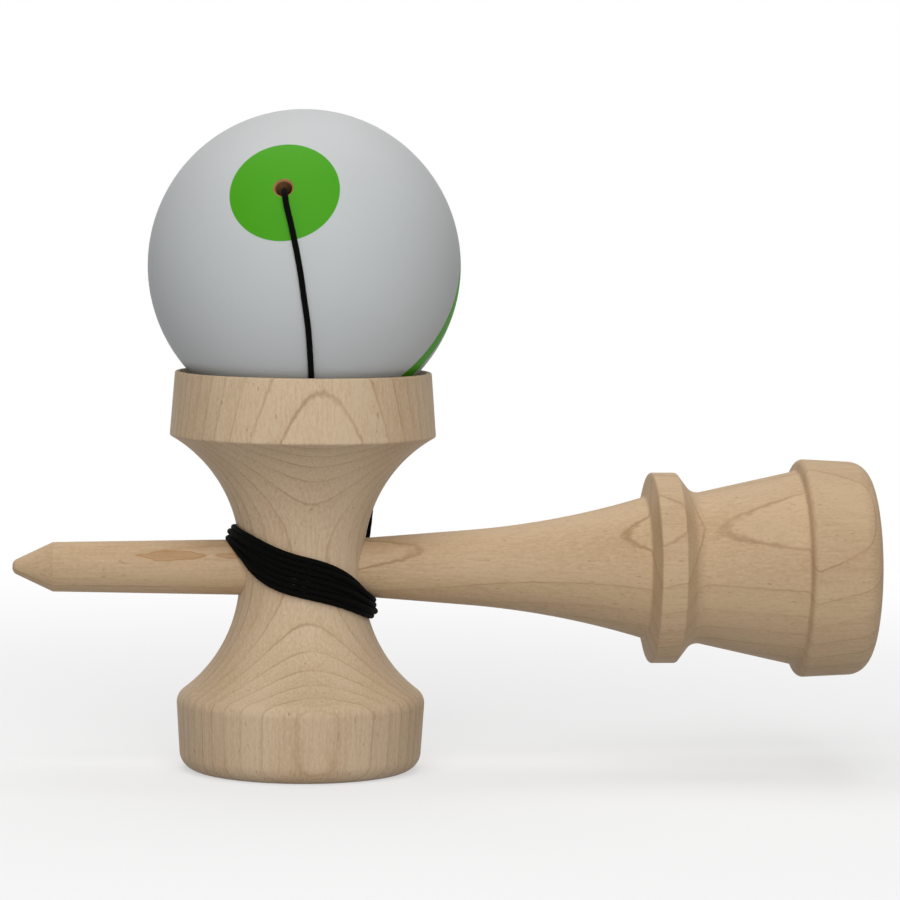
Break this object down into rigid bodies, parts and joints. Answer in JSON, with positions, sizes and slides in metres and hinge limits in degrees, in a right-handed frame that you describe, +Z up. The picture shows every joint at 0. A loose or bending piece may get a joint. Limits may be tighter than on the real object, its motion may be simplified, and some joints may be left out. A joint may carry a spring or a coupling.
{
  "type": "kendama",
  "caption": "Wooden kendama with a turned handle, a cross piece with cups, and a painted ball on a braided cord that is wound round the neck.",
  "frame": {"origin": "under the middle of the toy's length, on the surface that the small cup stands on", "axes": "+X along the handle towards the base cup, +Y away from the side with the string hole in the picture, +Z up along the cross piece"},
  "size_m": [0.166, 0.0611, 0.1272],
  "materials": {
    "maple": "bare turned maple, fine sanded",
    "painted_wood": "smooth satin paint over turned wood",
    "bead_plastic": "moulded",
    "braided_cord": "tight polyester braid"
  },
  "bodies": {
    "ken_assembly": {"ken": "maple", "sarado": "maple", "ken_knot": "braided_cord", "string_anchor": "braided_cord", "string_winding": "braided_cord", "string_lead": "braided_cord"},
    "bead_on_string": {"bead": "bead_plastic", "bead_knot": "braided_cord"},
    "tama": {"tama": "painted_wood"}
  },
  "joints": [
    {"name": "tama_lift", "type": "slide", "parent": "ken_assembly", "child": "bead_on_string", "axis": [0, 0, 1], "range_m": [0, 0.045], "deforming": ["string_lead"]},
    {"name": "tama_spin", "type": "hinge", "parent": "bead_on_string", "child": "tama", "pos_m": [-0.02745, 0, 0.09717], "axis": [-0.1865, -0.8412, 0.5075], "continuous": true}
  ]
}
